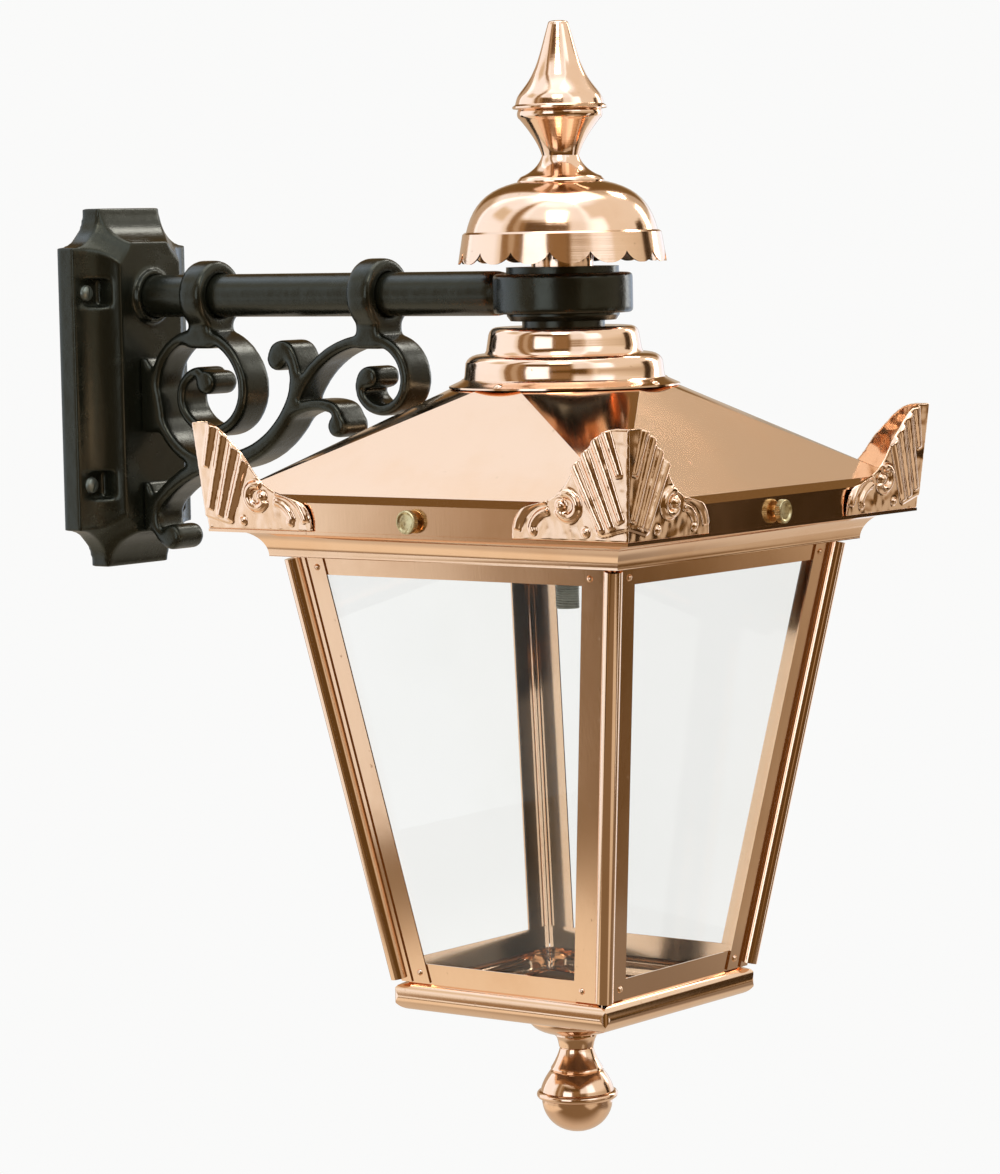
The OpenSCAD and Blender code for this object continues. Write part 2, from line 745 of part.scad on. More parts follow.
module gallery_band() {
    inner_w = gallery_w - 2 * sheet_t;
    color(copper) difference() {
        to_lantern() difference() {
            square_prism(gallery_w, cornice_top, roof_edge_z - seat);
            square_prism(inner_w, cornice_top - 1, roof_edge_z + 1);
        }
        for (i = [0 : 3]) on_side(i * 90) translate([0, 0, cornice_top + gallery_h / 2]) {
            rotate([90, 0, 0]) cylinder(r = thumb_shank_d / 2 + running, h = gallery_w);
        }
    }
}
module cornice_profile(inset) {
    lip_edge = cornice_w / 2;
    cove_x = cove_w / 2 - inset;
    top = cornice_top - inset;
    foot = cornice_foot + inset;
    difference() {
        polygon(both([
            [lip_edge - inset, top], [lip_edge - inset, cornice_top - lip_t + inset],
            [cove_x + cove_r, cornice_top - lip_t + inset], [cove_x, cornice_top - lip_t - cove_r + inset],
            [cove_x, foot]
        ]));
        for (s = [-1, 1]) translate([s * (cove_w / 2 + cove_r), cornice_top - lip_t - cove_r]) {
            circle(r = cove_r + inset);
        }
    }
}
module cornice() {
    ledge = 12;
    color(copper) to_lantern() difference() {
        hipped(cornice_w + 20) cornice_profile(0);
        hipped(cornice_w - 2 * lip_t) cornice_profile(sheet_t * 0.8);
        square_prism(gallery_w - 2 * ledge, cornice_top - sheet_t * 1.5, cornice_top + 1);
        square_prism(body_top_w - 2 * ledge, cornice_foot - 1, cornice_foot + sheet_t * 1.5);
    }
}
module top_rail(turn) {
    end = 4.6;
    high = body_top - sheet_t * sin(face_tilt) - seat;
    color(copper) on_face(turn) face_plate(-sheet_t, sheet_t) polygon([
        [end - skin(high), slant(high)], [end - skin(rail_foot), slant(rail_foot)],
        [skin(rail_foot) - end, slant(rail_foot)], [skin(high) - end, slant(high)]
    ]);
}
module top_rail_front() { top_rail(0); }
module top_rail_right() { top_rail(90); }
module top_rail_back() { top_rail(180); }
module top_rail_left() { top_rail(270); }

// Corner leaves: two fluted wings folded at the corner and standing on the cornice lip

leaf_tilt = atan(leaf_lean / leaf_h);
leaf_base = cornice_w / 2 - leaf_t;
function leaf_edge() =
    let (w = leaf_w, h = leaf_h)
        concat(
            curve([-4, h], [w * 0.16, h * 1.02], [w * 0.22, h * 0.89], [w * 0.33, h * 0.76], 8),
            curve([w * 0.33, h * 0.76], [w * 0.47, h * 0.62], [w * 0.45, h * 0.48], [w * 0.65, h * 0.37], 8),
            curve([w * 0.65, h * 0.37], [w * 0.81, h * 0.29], [w, h * 0.35], [w, 0], 8),
            [[w, 0], [-12, 0], [-12, h]]
        );
// A tapered round rib lying half in the sheet, from a to b in the wing's own plane
module rib(a, b, r_a, r_b) {
    run = b - a;
    translate([a.x, a.y, 0]) rotate([0, 0, atan2(run.y, run.x)]) rotate([0, 90, 0]) {
        cylinder(r1 = r_a, r2 = r_b, h = norm(run), $fn = 24);
    }
}
// Flutes: feet near the fold and tips on the upper edge, as shares of the wing's length and height
flute_feet = [[0.016, 0.59], [0.026, 0.19], [0.114, 0.128], [0.2, 0.1]];
flute_tips = [[0.114, 0.993], [0.223, 0.953], [0.318, 0.83], [0.405, 0.7]];
// Part of a ring lying half in the sheet, from one angle to another
module strand(centre, r, from, to, thick) {
    translate([centre.x, centre.y, 0]) rotate([0, 0, from]) rotate_extrude(angle = to - from) {
        translate([r, 0]) circle(r = thick, $fn = 24);
    }
}
module leaf_relief() {
    w = leaf_w;
    h = leaf_h;
    for (i = [0 : len(flute_feet) - 1]) {
        foot = flute_feet[i];
        tip = flute_tips[i];
        rib([w * foot.x, h * foot.y], [w * tip.x, h * tip.y], flute_r * 0.68, flute_r);
    }
    volute = [w * 0.485, h * 0.32];
    strand(volute, w * 0.085, 62, 335, 3);
    translate([volute.x + w * 0.052, volute.y, 0]) sphere(r = 3.9, $fn = 32);
    for (u = [0.34, 0.8]) translate([w * u, h * 0.09, 0]) sphere(r = 2.6, $fn = 24);
    strand([w * 0.68, h * 0.03], w * 0.27, 12, 92, 2.6);
    strand([w * 0.64, h * 0.05], w * 0.18, 14, 84, 2.2);
}
// Fluted middle of the leaf, which stands a little proud of the wings
module shield_outline() {
    w = leaf_w;
    h = leaf_h;
    polygon(concat(
        [[-12, h * 1.1], [-12, h * 0.12], [0, h * 0.12], [w * 0.2, h * 0.06]],
        curve([w * 0.235, h * 0.08], [w * 0.27, h * 0.25], [w * 0.34, h * 0.48], [w * 0.48, h * 0.74], 6),
        [[w * 0.5, h * 1.1]]
    ));
}
// One wing along +X from the fold, in the frame of the corner, before it is mitred
module leaf_wing() {
    translate([-leaf_base, -leaf_base, cornice_top]) rotate([leaf_tilt, 0, 0]) rotate([90, 0, 0]) {
        intersection() {
            union() {
                linear_extrude(leaf_t) polygon(leaf_edge());
                linear_extrude(leaf_t + 0.8) shield_outline();
                translate([0, 0, leaf_t]) leaf_relief();
            }
            linear_extrude(20) polygon(leaf_edge());
        }
    }
}
module mitre_half() {
    far = cornice_w;
    linear_extrude(4 * leaf_h, center = true) polygon([[0, 0], [-far, -far], [far, -far]]);
}
module leaf(turn) {
    color(copper) on_side(turn) {
        intersection() {
            leaf_wing();
            translate([0, 0, cornice_top + 2 * leaf_h]) mitre_half();
        }
        mirror([1, -1, 0]) intersection() {
            leaf_wing();
            translate([0, 0, cornice_top + 2 * leaf_h]) mitre_half();
        }
    }
}
module leaf_front_left() { leaf(0); }
module leaf_front_right() { leaf(90); }
module leaf_back_right() { leaf(180); }
module leaf_back_left() { leaf(270); }

// Corner posts, rivets and glass

post_low = body_foot + 0.2;
post_high = body_top - seat;
bead_out = 1.8;
bead_diag_top = (skin(post_high) + bead_out) * sqrt(2);
bead_diag_low = (skin(post_low) + bead_out) * sqrt(2);
bead_tilt = atan((bead_diag_top - bead_diag_low) / (post_high - post_low));
module bead_line(turn, r, past) {
    on_side(turn) rotate([0, 0, 225]) translate([bead_diag_low, 0, post_low]) {
        rotate([0, bead_tilt, 0]) translate([0, 0, -past]) {
            cylinder(r = r, h = (post_high - post_low) / cos(bead_tilt) + 2 * past);
        }
    }
}
// Room for the four beads, seen from the lantern's own axis
module bead_clearance() {
    translate([0, reach, 0]) for (i = [0 : 3]) bead_line(90 * i, bead_r + running, 3);
}
module post_strip(side, width, t) {
    high = [skin(post_high), slant(post_high)];
    low = [skin(post_low), slant(post_low)];
    face_plate(seat, t) scale([side, 1]) polygon([
        high, [high.x - width, high.y], [low.x - width, low.y], low
    ]);
}
module post(turn) {
    end_gap = bead_r * sin(bead_tilt) + 0.2;
    color(copper) {
        on_face(turn) {
            post_strip(-1, post_flange_w, sheet_t);
            post_strip(-1, 9, sheet_t + 1.2);
        }
        on_face(turn - 90) {
            post_strip(1, post_flange_w, sheet_t);
            post_strip(1, 9, sheet_t + 1.2);
        }
        bead_line(turn, bead_r, -end_gap);
    }
}
module post_front_left() { post(0); }
module post_front_right() { post(90); }
module post_back_right() { post(180); }
module post_back_left() { post(270); }

module post_rivets() {
    top_z = body_top - 7.4;
    low_z = body_foot + 7.5;
    inset = post_flange_w - 6.5;
    color(copper) for (i = [0 : 3]) on_face(i * 90) for (z = [top_z, low_z], s = [-1, 1]) {
        translate([s * (skin(z) - inset), -sheet_t - seat, slant(z)]) rotate([90, 0, 0]) {
            rivet_head(rivet_d, 1.7);
        }
    }
}

glass_in = sheet_t + 2 * seat;
module pane(turn) {
    high = body_top - (glass_in + glass_t) * sin(face_tilt) - 0.3;
    low = floor_top + 1;
    edge = glass_in + glass_t + 0.4;
    top_half = skin(high) - edge;
    low_half = skin(low) - edge;
    color(glass_tint) on_face(turn) face_plate(-glass_in - glass_t, glass_t) polygon([
        [-top_half, slant(high)], [-low_half, slant(low)], [low_half, slant(low)], [top_half, slant(high)]
    ]);
}
module pane_front() { pane(0); }
module pane_right() { pane(90); }
module pane_back() { pane(180); }
module pane_left() { pane(270); }

// Base

roll_x = skin(body_foot) + roll_out - roll_r;
roll_z = body_foot - roll_r;
function rounded_square(half, r) = [
    for (corner = [0 : 3], step = [0 : 6])
        let (turn = 90 * corner, a = turn + 15 * step)
            [cos(turn + 45), sin(turn + 45)] * sqrt(2) * (half - r) + r * [cos(a), sin(a)]
];
module roll_profile(r) {
    difference() {
        translate([0, roll_z]) square([2 * (roll_x + r), 2 * r], center = true);
        for (s = [-1, 1]) translate([s * roll_x, roll_z]) difference() {
            translate([s * roll_r, 0]) square(2 * roll_r, center = true);
            circle(r = r);
        }
    }
}
module base_body(inset) {
    inner = inset / cos(face_tilt);
    length = 4 * roll_x;
    intersection() {
        union() {
            hipped(length) roll_profile(roll_r - inset);
            hipped(length) polygon(both([
                [skin(base_top + 1) - inner, base_top + 1], [skin(roll_z) - inner, roll_z]
            ]));
        }
        translate([0, 0, base_foot - 1]) linear_extrude(base_top - base_foot + 3) {
            polygon(rounded_square(roll_x + roll_r - inset, base_corner_r - inset));
        }
    }
}
module base_rail() {
    color(copper) to_lantern() difference() {
        base_body(0);
        base_body(sheet_t);
        square_prism(3 * roll_x, base_top, base_top + 3);
        square_prism(2 * (roll_x - ledge_w), base_foot - 1, ledge_top + 1);
        bead_clearance();
    }
}
module floor_plate() {
    half = roll_x - 1;
    color(copper) to_lantern() difference() {
        union() {
            square_prism(2 * half, ledge_top, floor_top);
            disc_z(57, floor_top, floor_top + press);
        }
        disc_z(57 - sheet_t, ledge_top - 1, floor_top - sheet_t + press);
        disc_z(rod_d / 2 + running, ledge_top - 1, floor_top + press + 1);
    }
}
module dish_outline(inset, high) {
    r = dish_d / 2;
    low = dish_foot + inset;
    polygon(concat(
        [[0, high], [r - inset, high], [r - inset, base_foot - dish_h * 0.55]],
        curve([r - inset, base_foot - dish_h * 0.6], [r - 2 - inset, base_foot - dish_h * 0.86],
            [r - 12, low + 0.6], [r - 17, low], 8),
        [[r - 17, low], [0, low]]
    ));
}
module base_dish() {
    color(copper) to_lantern() difference() {
        rotate_extrude() dish_outline(0, dish_top);
        rotate_extrude() dish_outline(sheet_t, dish_top + 1);
        disc_z(rod_d / 2 + running, dish_foot - 1, dish_top + 1);
    }
}
module finial_neck() {
    waist_r = finial_neck_d / 2;
    color(copper) to_lantern() difference() {
        rotate_extrude() polygon(concat(
            [[0, dish_foot], [waist_r + 3.2, dish_foot], [waist_r + 3.2, dish_foot - 1.6]],
            curve([waist_r + 2.8, dish_foot - 2], [waist_r + 1.2, dish_foot - 4], [waist_r + 0.9, neck_foot + 4],
                [waist_r + 0.4, neck_foot + 1.2], 6),
            [[waist_r + 0.4, neck_foot + 1.2], [waist_r - 0.8, neck_foot + 0.6], [waist_r - 0.8, neck_foot],
                [0, neck_foot]]
        ));
        disc_z(rod_d / 2 + running, neck_foot - 1, dish_foot + 1);
    }
}
module finial_bulb() {
    bead = 2.8;
    waist_r = finial_neck_d / 2;
    bead_z = neck_foot - bead_drop;
    bead_x = bulb_bead_d / 2 - bead;
    groove_z = neck_foot - bead_drop * 0.47;
    low = neck_foot - bulb_h;
    color(copper) to_lantern() difference() {
        rotate_extrude() polygon(concat(
            [[0, neck_foot]],
            curve([waist_r, neck_foot], [waist_r + 0.9, neck_foot - 4], [waist_r + 3.6, groove_z + 6],
                [waist_r + 6.2, groove_z + 2], 6),
            [[waist_r + 6.2, groove_z + 2], [waist_r + 6.6, groove_z + 1], [waist_r + 5.8, groove_z]],
            curve([waist_r + 7.2, groove_z - 0.8], [waist_r + 9.6, groove_z - 4], [bead_x - 0.8, bead_z + 8],
                [bead_x, bead_z + bead], 6),
            [for (i = [0 : 8]) [bead_x + bead * sin(i * 22.5), bead_z + bead * cos(i * 22.5)]],
            curve([bead_x - 0.8, bead_z - bead - 0.2], [bead_x - 0.8, low + 11], [15.5, low], [0, low], 12),
            [[0, low]]
        ));
        disc_z(rod_d / 2 + running, neck_foot - rod_socket, neck_foot + 1);
    }
}
module finial_rod() {
    color(steel) to_lantern() disc_z(rod_d / 2, neck_foot - rod_socket + 1, floor_top + 9);
}
module rod_nut() {
    color(steel) to_lantern() hex_nut(rod_d * 1.7, rod_d / 2 + running, floor_top + press, 5);
}

// Thumb screws, one through the middle of each side of the upright band

module thumb_screw(turn) {
    shank_r = thumb_shank_d / 2;
    head_r = thumb_d / 2;
    inner = 9;
    color(brass) on_side(turn) translate([0, -gallery_w / 2, cornice_top + gallery_h / 2]) {
        rotate([90, 0, 0]) rotate_extrude() polygon([
            [0, -inner], [shank_r - 0.6, -inner], [shank_r, -inner + 0.6], [shank_r, thumb_gap - 0.8],
            [shank_r + 1.6, thumb_gap], [head_r - 0.5, thumb_gap], [head_r, thumb_gap + 0.5],
            [head_r, thumb_gap + thumb_t - 0.5], [head_r - 0.4, thumb_gap + thumb_t],
            [head_r - 1.1, thumb_gap + thumb_t], [head_r - 2.4, thumb_gap + thumb_t - 0.9],
            [0, thumb_gap + thumb_t - 1.3]
        ]);
    }
}
module thumb_screw_front() { thumb_screw(0); }
module thumb_screw_right() { thumb_screw(90); }
module thumb_screw_back() { thumb_screw(180); }
module thumb_screw_left() { thumb_screw(270); }

wall_plate();
bracket_arm();
scroll_casting();
upper_washer();
lower_washer();
spacer();
hanging_tube();
upper_nut();
roof_nut();
vent_tube();
vent_cap();
cap_flare();
spire_cup();
spire();
stepped_collar();
collar_rivets();
roof();
gallery_band();
cornice();
top_rail_front();
top_rail_right();
top_rail_back();
top_rail_left();
leaf_front_left();
leaf_front_right();
leaf_back_right();
leaf_back_left();
post_front_left();
post_front_right();
post_back_right();
post_back_left();
pane_front();
pane_right();
pane_back();
pane_left();
post_rivets();
base_rail();
floor_plate();
base_dish();
finial_neck();
finial_bulb();
finial_rod();
rod_nut();
thumb_screw_front();
thumb_screw_right();
thumb_screw_back();
thumb_screw_left();
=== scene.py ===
"""Looks for the copper wall lantern: metals, paint, glass, small fastenings, studio and camera."""

import math

import bmesh
import bpy
from mathutils import Matrix, Vector


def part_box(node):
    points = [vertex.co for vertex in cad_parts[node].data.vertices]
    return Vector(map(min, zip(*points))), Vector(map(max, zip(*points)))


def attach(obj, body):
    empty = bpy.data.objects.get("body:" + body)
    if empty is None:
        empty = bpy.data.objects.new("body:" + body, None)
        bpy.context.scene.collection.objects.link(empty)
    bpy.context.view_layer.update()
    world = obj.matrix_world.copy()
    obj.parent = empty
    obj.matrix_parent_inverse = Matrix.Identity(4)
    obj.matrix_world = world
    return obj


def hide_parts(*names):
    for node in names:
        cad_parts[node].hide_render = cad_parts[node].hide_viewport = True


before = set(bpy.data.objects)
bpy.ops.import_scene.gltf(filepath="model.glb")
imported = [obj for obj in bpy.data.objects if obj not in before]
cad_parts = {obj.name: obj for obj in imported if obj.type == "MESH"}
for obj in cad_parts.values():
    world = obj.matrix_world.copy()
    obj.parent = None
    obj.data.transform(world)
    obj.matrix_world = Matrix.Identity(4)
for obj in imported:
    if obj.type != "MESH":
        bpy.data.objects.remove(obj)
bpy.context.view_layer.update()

# ---------------------------------------------------------------- names and sizes, in metres

LANTERN = "lantern"
REACH = 0.422  # from the wall to the lantern's own axis
AXIS = Vector((0, -REACH, 0))

# which way each side of the lantern faces
SIDES = {"front": (0, -1, 0), "right": (1, 0, 0), "back": (0, 1, 0), "left": (-1, 0, 0)}
CORNERS = ("front_left", "front_right", "back_right", "back_left")

# voxel size, smoothing passes, and the swelling that gives back what the smoothing takes
CASTINGS = {
    "wall_plate": (0.0016, 3, 0.0),
    "bracket_arm": (0.0014, 8, 0.0),
    "scroll_casting": (0.0012, 44, 0.0007),
}
LEAF_PRESSING = (0.0006, 9, 0.0)

SPUN_PARTS = (
    "vent_cap",
    "cap_flare",
    "spire_cup",
    "spire",
    "stepped_collar",
    "base_dish",
    "finial_neck",
    "finial_bulb",
)

# the CAD nodes that take each finish; the others are copper sheet
DRESSING = {
    "paint": (*CASTINGS, "upper_washer", "lower_washer", "spacer"),
    "steel": ("hanging_tube", "upper_nut", "roof_nut", "finial_rod", "rod_nut"),
    "spun": (*SPUN_PARTS, "vent_tube"),
    "mill": ("floor_plate",),
    "glass": tuple("pane_" + side for side in SIDES),
    "brass": tuple("thumb_screw_" + side for side in SIDES),
}

# edges sharper than this stay sharp in smooth shading
CREASE = math.radians(32)
ROOF_CREASE = math.radians(4.5)

# half the width and half the height of the wall screws' pattern, and the pocket floor they sit on
SCREW_X = 0.050
SCREW_Z = 0.072
POCKET_Y = -0.0164
SLOT_TURNS = (-0.3, 0.5)  # least and most turn of a screw's slot, in radians

# the roof: its sheet, its lower margin, the round neck and half the angle of a side's flat top
SHEET = 0.0012
ROOF_MARGIN = 0.011
MARGIN_PITCH = math.radians(27)
NECK_RADIUS = 0.0790
NECK_FLAT = math.radians(13.0)
CONE_STEPS = 24
TUBE_PLAY = 0.0002  # round the hanging tube, where it goes through the roof

# the knurl on a thumb screw: how far its ridges go into the head and stand out of it
KNURL_RIDGES = 42
RIDGE_WIDTH = 0.00072
RIDGE_ROOT = 0.0004
RIDGE_CREST = 0.00032
RIDGE_LENGTH = 0.0037
KNURL_INSET = 0.00225  # from the head's outer face to the middle of the ridges

# the thread on the hanging tube
THREAD_LENGTH = 0.110
THREAD_PITCH = 0.0018
THREAD_RIDGE = 0.00062
THREAD_LIFT = 0.00002  # from the tube's surface to the middle of the ridge
THREAD_START = 0.0008  # above the tube's lower end

# the camera of the photograph, as fitted to the lantern
LENS_MM = 126.3
SENSOR_MM = 36.0
CAMERA_PLACE = (-2.3308, -2.1246, 0.1135)
CAMERA_TURNS = (37.10, 4.96, -1.118)  # heading, tilt down and roll, in degrees
# its level directions: its right hand, and from the lantern back towards it
PICTURE_RIGHT = (0.6032, -0.7976)
CAMERA_WARD = (-0.7976, -0.6032)

FLOOR_LEVEL = -0.95
FLOOR_RADIUS = 1.7
FLOOR_STEPS = 96

# place, aim, width and height, watts
LAMPS = {
    "key_left": (AXIS + Vector((-1.35, -0.75, 1.75)), AXIS, (0.8, 0.8), 9),
    "top": (AXIS + Vector((0.3, 0.05, 1.95)), AXIS, (1.3, 1.3), 9),
    "plate_light": (Vector((2.96, -0.44, 2.81)), Vector((0, -0.03, 0.15)), (0.7, 0.7), 14),
    "rim_right": (AXIS + Vector((1.9, -0.4, 0.5)), AXIS, (0.35, 1.2), 5),
}

# What polished metal sees of the room. A window runs between two turns, in degrees (0 towards
# the camera, minus to the picture's left), and between two heights (-1 straight down, 1
# straight up). Then come its soft edges, sideways and in height, and the light that it adds.
ROOM_LEVEL = 0.12
ROOM_WINDOWS = (
    # left of the picture: a white drape, its folds, and the key light's soft box
    (-136, -75.6, -0.62, 0.97, 0.9, 0.04, 0.86),
    (-128, -82, -0.30, 0.97, 5.0, 0.10, 0.25),
    (-75.4, -50, -0.50, 0.97, 0.8, 0.04, 0.17),
    (-66, -58, -0.40, 0.62, 1.5, 0.04, 0.22),
    (-75.4, -66, -0.27, -0.13, 0.8, 0.015, 0.85),
    (-47, -19, -0.16, 0.40, 1.2, 0.03, 1.75),
    # overhead, and above and beside the dark of the camera's place
    (-62, 40, 0.62, 0.99, 5.0, 0.05, 1.05),
    (9, 60, 0.30, 0.62, 3.0, 0.05, 0.95),
    (-18, 6, 0.22, 0.45, 3.0, 0.05, 0.17),
    (26, 38, -0.20, 0.30, 3.0, 0.05, 0.30),
    # right of the picture: a tan wall, brighter high up, and white cards low and behind
    (33, 190, -0.10, 0.97, 4.0, 0.04, 0.45),
    (40, 138, 0.22, 0.97, 6.0, 0.12, 0.36),
    (84, 94, -0.62, -0.15, 1.5, 0.05, 0.95),
    (128, 168, -0.55, 0.20, 2.0, 0.04, 0.62),
    (109.3, 190, -0.24, -0.13, 0.8, 0.02, 0.48),
    (112.8, 190, -0.62, -0.24, 0.8, 0.02, 0.44),
    (-190, -129, -0.62, 0.97, 4.0, 0.06, 0.42),
    (-158, -124, 0.58, 0.97, 4.0, 0.06, 0.58),
)
# shades lie over the windows and take away a share of their light
ROOM_SHADES = (
    (-77.2, -60, -0.62, -0.28, 0.8, 0.04, 0.72),
    (-112, -86, 0.50, 0.72, 5.0, 0.05, 0.38),
    (104, 109, -0.64, -0.18, 0.8, 0.012, 0.85),
)
DOORWAY = (105.5, 119, -0.11, 0.36, 1.0, 0.02, 0.94)


# ---------------------------------------------------------------- shader maths


class Value:
    """A shader socket that takes part in Python sums; each sum adds one Math node."""

    def __init__(self, tree, socket):
        self.tree = tree
        self.socket = socket

    def _math(self, operation, a, b):
        node = self.tree.nodes.new("ShaderNodeMath")
        node.operation = operation
        for index, term in enumerate((a, b)):
            if isinstance(term, Value):
                self.tree.links.new(term.socket, node.inputs[index])
            else:
                node.inputs[index].default_value = term
        return Value(self.tree, node.outputs[0])

    def __add__(self, other):
        return self._math("ADD", self, other)

    def __radd__(self, other):
        return self._math("ADD", other, self)

    def __sub__(self, other):
        return self._math("SUBTRACT", self, other)

    def __rsub__(self, other):
        return self._math("SUBTRACT", other, self)

    def __mul__(self, other):
        return self._math("MULTIPLY", self, other)

    def __rmul__(self, other):
        return self._math("MULTIPLY", other, self)

    def __pow__(self, other):
        return self._math("POWER", self, other)

    def clamped(self):
        return self._math("MINIMUM", self._math("MAXIMUM", self, 0.0), 1.0)

    def angle_from(self, other):
        return self._math("ARCTAN2", self, other)


def add_node(tree, kind, settings, sockets):
    """Adds a node: its settings first, then the values or links of its sockets.

    A socket goes by its name, with _ for a space, or by its number where names repeat: i0, i1."""
    node = tree.nodes.new(kind)
    for name, value in (settings or {}).items():
        setattr(node, name, value)
    for name, value in sockets.items():
        numbered = name[0] == "i" and name[1:].isdigit()
        socket = node.inputs[int(name[1:]) if numbered else name.replace("_", " ")]
        if isinstance(value, Value):
            value = value.socket
        if isinstance(value, bpy.types.NodeSocket):
            tree.links.new(value, socket)
        else:
            socket.default_value = value
    return node


class Shader:
    """One material or world node tree, with a single method that adds any node."""

    def __init__(self, holder):
        holder.use_nodes = True
        self.tree = holder.node_tree
        self.tree.nodes.clear()

    def node(self, kind, settings=None, output=0, **sockets):
        return Value(self.tree, add_node(self.tree, kind, settings, sockets).outputs[output])

    def mix_colour(self, share, low, high):
        """Mixes two colours, which are sockets 6 and 7 and output 2 of a Mix node."""
        settings = {"data_type": "RGBA", "clamp_factor": True}
        return self.node("ShaderNodeMix", settings, output=2, i0=share, i6=low, i7=high)

    def step(self, value, start, end):
        """Rises smoothly from 0 at start to 1 at end."""
        return self.node(
            "ShaderNodeMapRange",
            {"interpolation_type": "SMOOTHSTEP"},
            Value=value,
            From_Min=start,
            From_Max=end,
            To_Min=0.0,
            To_Max=1.0,
        )

    def split(self, vector):
        node = self.node("ShaderNodeSeparateXYZ", i0=vector).socket.node
        return [Value(self.tree, node.outputs[i]) for i in range(3)]

    def object_point(self, scale=(1, 1, 1), place=(0, 0, 0)):
        coordinate = self.node("ShaderNodeTexCoord", output="Object")
        return self.node("ShaderNodeMapping", i0=coordinate, i1=place, i3=scale)

    def noise(self, point, scale, detail=3.0, rough=0.5):
        return self.node(
            "ShaderNodeTexNoise", i0=point, Scale=scale, Detail=detail, Roughness=rough
        )

    def bump(self, height, strength, distance):
        return self.node("ShaderNodeBump", Strength=strength, Distance=distance, Height=height)

    def ray(self, kind):
        """1 for rays of one kind, 0 for the others."""
        return self.node("ShaderNodeLightPath", output="Is " + kind + " Ray")

    def surface(self, shader, kind="ShaderNodeOutputMaterial"):
        out = self.tree.nodes.new(kind)
        self.tree.links.new(shader.socket, out.inputs["Surface"])

    def finish(self, colour, metallic, rough, normal, **sockets):
        """Ends the material in one Principled shader."""
        self.surface(
            self.node(
                "ShaderNodeBsdfPrincipled",
                Base_Color=colour,
                Metallic=metallic,
                Roughness=rough,
                Normal=normal,
                **sockets,
            )
        )


def rgba(r, g, b):
    return (r, g, b, 1.0)


WHITE = rgba(0.955, 0.955, 0.95)


# ---------------------------------------------------------------- metals, paint and glass


def blank_material(name):
    material = bpy.data.materials.new(name)
    return material, Shader(material)


def sheet_copper(name, ripple=0.0005, waves=9.0):
    """Polished copper sheet: faint rolling grain, slow ripples, tarnish in soft patches."""
    material, s = blank_material(name)
    point = s.object_point()
    patches = s.step(s.noise(point, 11.0, detail=4.0, rough=0.62), 0.42, 0.78)
    grain = s.noise(s.object_point(scale=(1, 1, 0.08)), 700.0, detail=2.0)
    spots = s.step(s.noise(point, 210.0, detail=2.0), 0.70, 0.80)
    bright = rgba(0.93, 0.64, 0.43)
    warm = rgba(0.85, 0.51, 0.285)
    brown = rgba(0.55, 0.27, 0.13)
    colour = s.mix_colour(patches * 0.45 + grain * 0.10, bright, warm)
    colour = s.mix_colour(spots * 0.35, colour, brown)
    rough = 0.085 + patches * 0.035 + grain * 0.03 + spots * 0.10
    slow = s.noise(point, waves, detail=1.0, rough=0.4)
    normal = s.bump(slow + grain * 0.012, strength=0.5, distance=ripple)
    s.finish(colour, 1.0, rough, normal)
    return material


def spun_copper(name):
    """Copper spun on a lathe: fine rings round the lantern's axis, polished over."""
    material, s = blank_material(name)
    point = s.object_point(place=(0, REACH, 0))
    x, y, z = s.split(point)
    radius = (x * x + y * y) ** 0.5
    profile = s.node("ShaderNodeCombineXYZ", X=radius, Y=z)
    rings = s.noise(profile, 1100.0, detail=2.0, rough=0.6)
    broad = s.noise(profile, 260.0, detail=2.0)
    patches = s.step(s.noise(point, 16.0, detail=4.0, rough=0.6), 0.44, 0.80)
    spots = s.step(s.noise(point, 260.0, detail=2.0), 0.70, 0.79)
    bright = rgba(0.93, 0.635, 0.43)
    warm = rgba(0.85, 0.50, 0.285)
    brown = rgba(0.42, 0.20, 0.10)
    colour = s.mix_colour(patches * 0.5 + rings * 0.14, bright, warm)
    colour = s.mix_colour(spots * 0.45, colour, brown)
    rough = 0.09 + rings * 0.05 + patches * 0.04 + spots * 0.12
    slow = s.noise(point, 22.0, detail=1.0, rough=0.4)
    height = rings * 0.30 + broad * 0.5 + slow * 5.0
    s.finish(colour, 1.0, rough, s.bump(height, strength=0.30, distance=0.00018))
    return material


def mill_copper(name):
    """Unpolished copper inside the lantern, gone brown, with paler rubbed patches."""
    material, s = blank_material(name)
    point = s.object_point()
    blotches = s.step(s.noise(point, 26.0, detail=5.0, rough=0.65), 0.40, 0.72)
    fine = s.noise(point, 240.0, rough=0.6)
    brown = rgba(0.17, 0.095, 0.050)
    rubbed = rgba(0.40, 0.24, 0.13)
    colour = s.mix_colour(blotches * 0.75 + fine * 0.2, brown, rubbed)
    rough = 0.44 + fine * 0.14 - blotches * 0.08
    s.finish(colour, 0.7, rough, s.bump(blotches * 0.4 + fine, strength=0.25, distance=0.0002))
    return material


def cast_paint(name):
    """Black gloss paint over sand-cast iron: soft lumps, fine sand grain, dust on some spots."""
    material, s = blank_material(name)
    point = s.object_point()
    sand = s.noise(point, 800.0, rough=0.6)
    lumps = s.noise(point, 75.0)
    runs = s.noise(s.object_point(scale=(1, 1, 0.35)), 30.0, detail=2.0)
    dust = s.step(s.noise(point, 34.0, detail=5.0, rough=0.65), 0.50, 0.80)
    black = rgba(0.0060, 0.0063, 0.0036)
    dusty = rgba(0.023, 0.023, 0.014)
    colour = s.mix_colour(dust * 0.6 + sand * 0.15, black, dusty)
    rough = 0.20 + sand * 0.08 + dust * 0.16
    height = sand * 0.22 + lumps * 1.3 + runs * 1.6
    normal = s.bump(height, strength=0.35, distance=0.0007)
    s.finish(colour, 0.0, rough, normal, Specular_Tint=rgba(1.0, 0.97, 0.72))
    return material


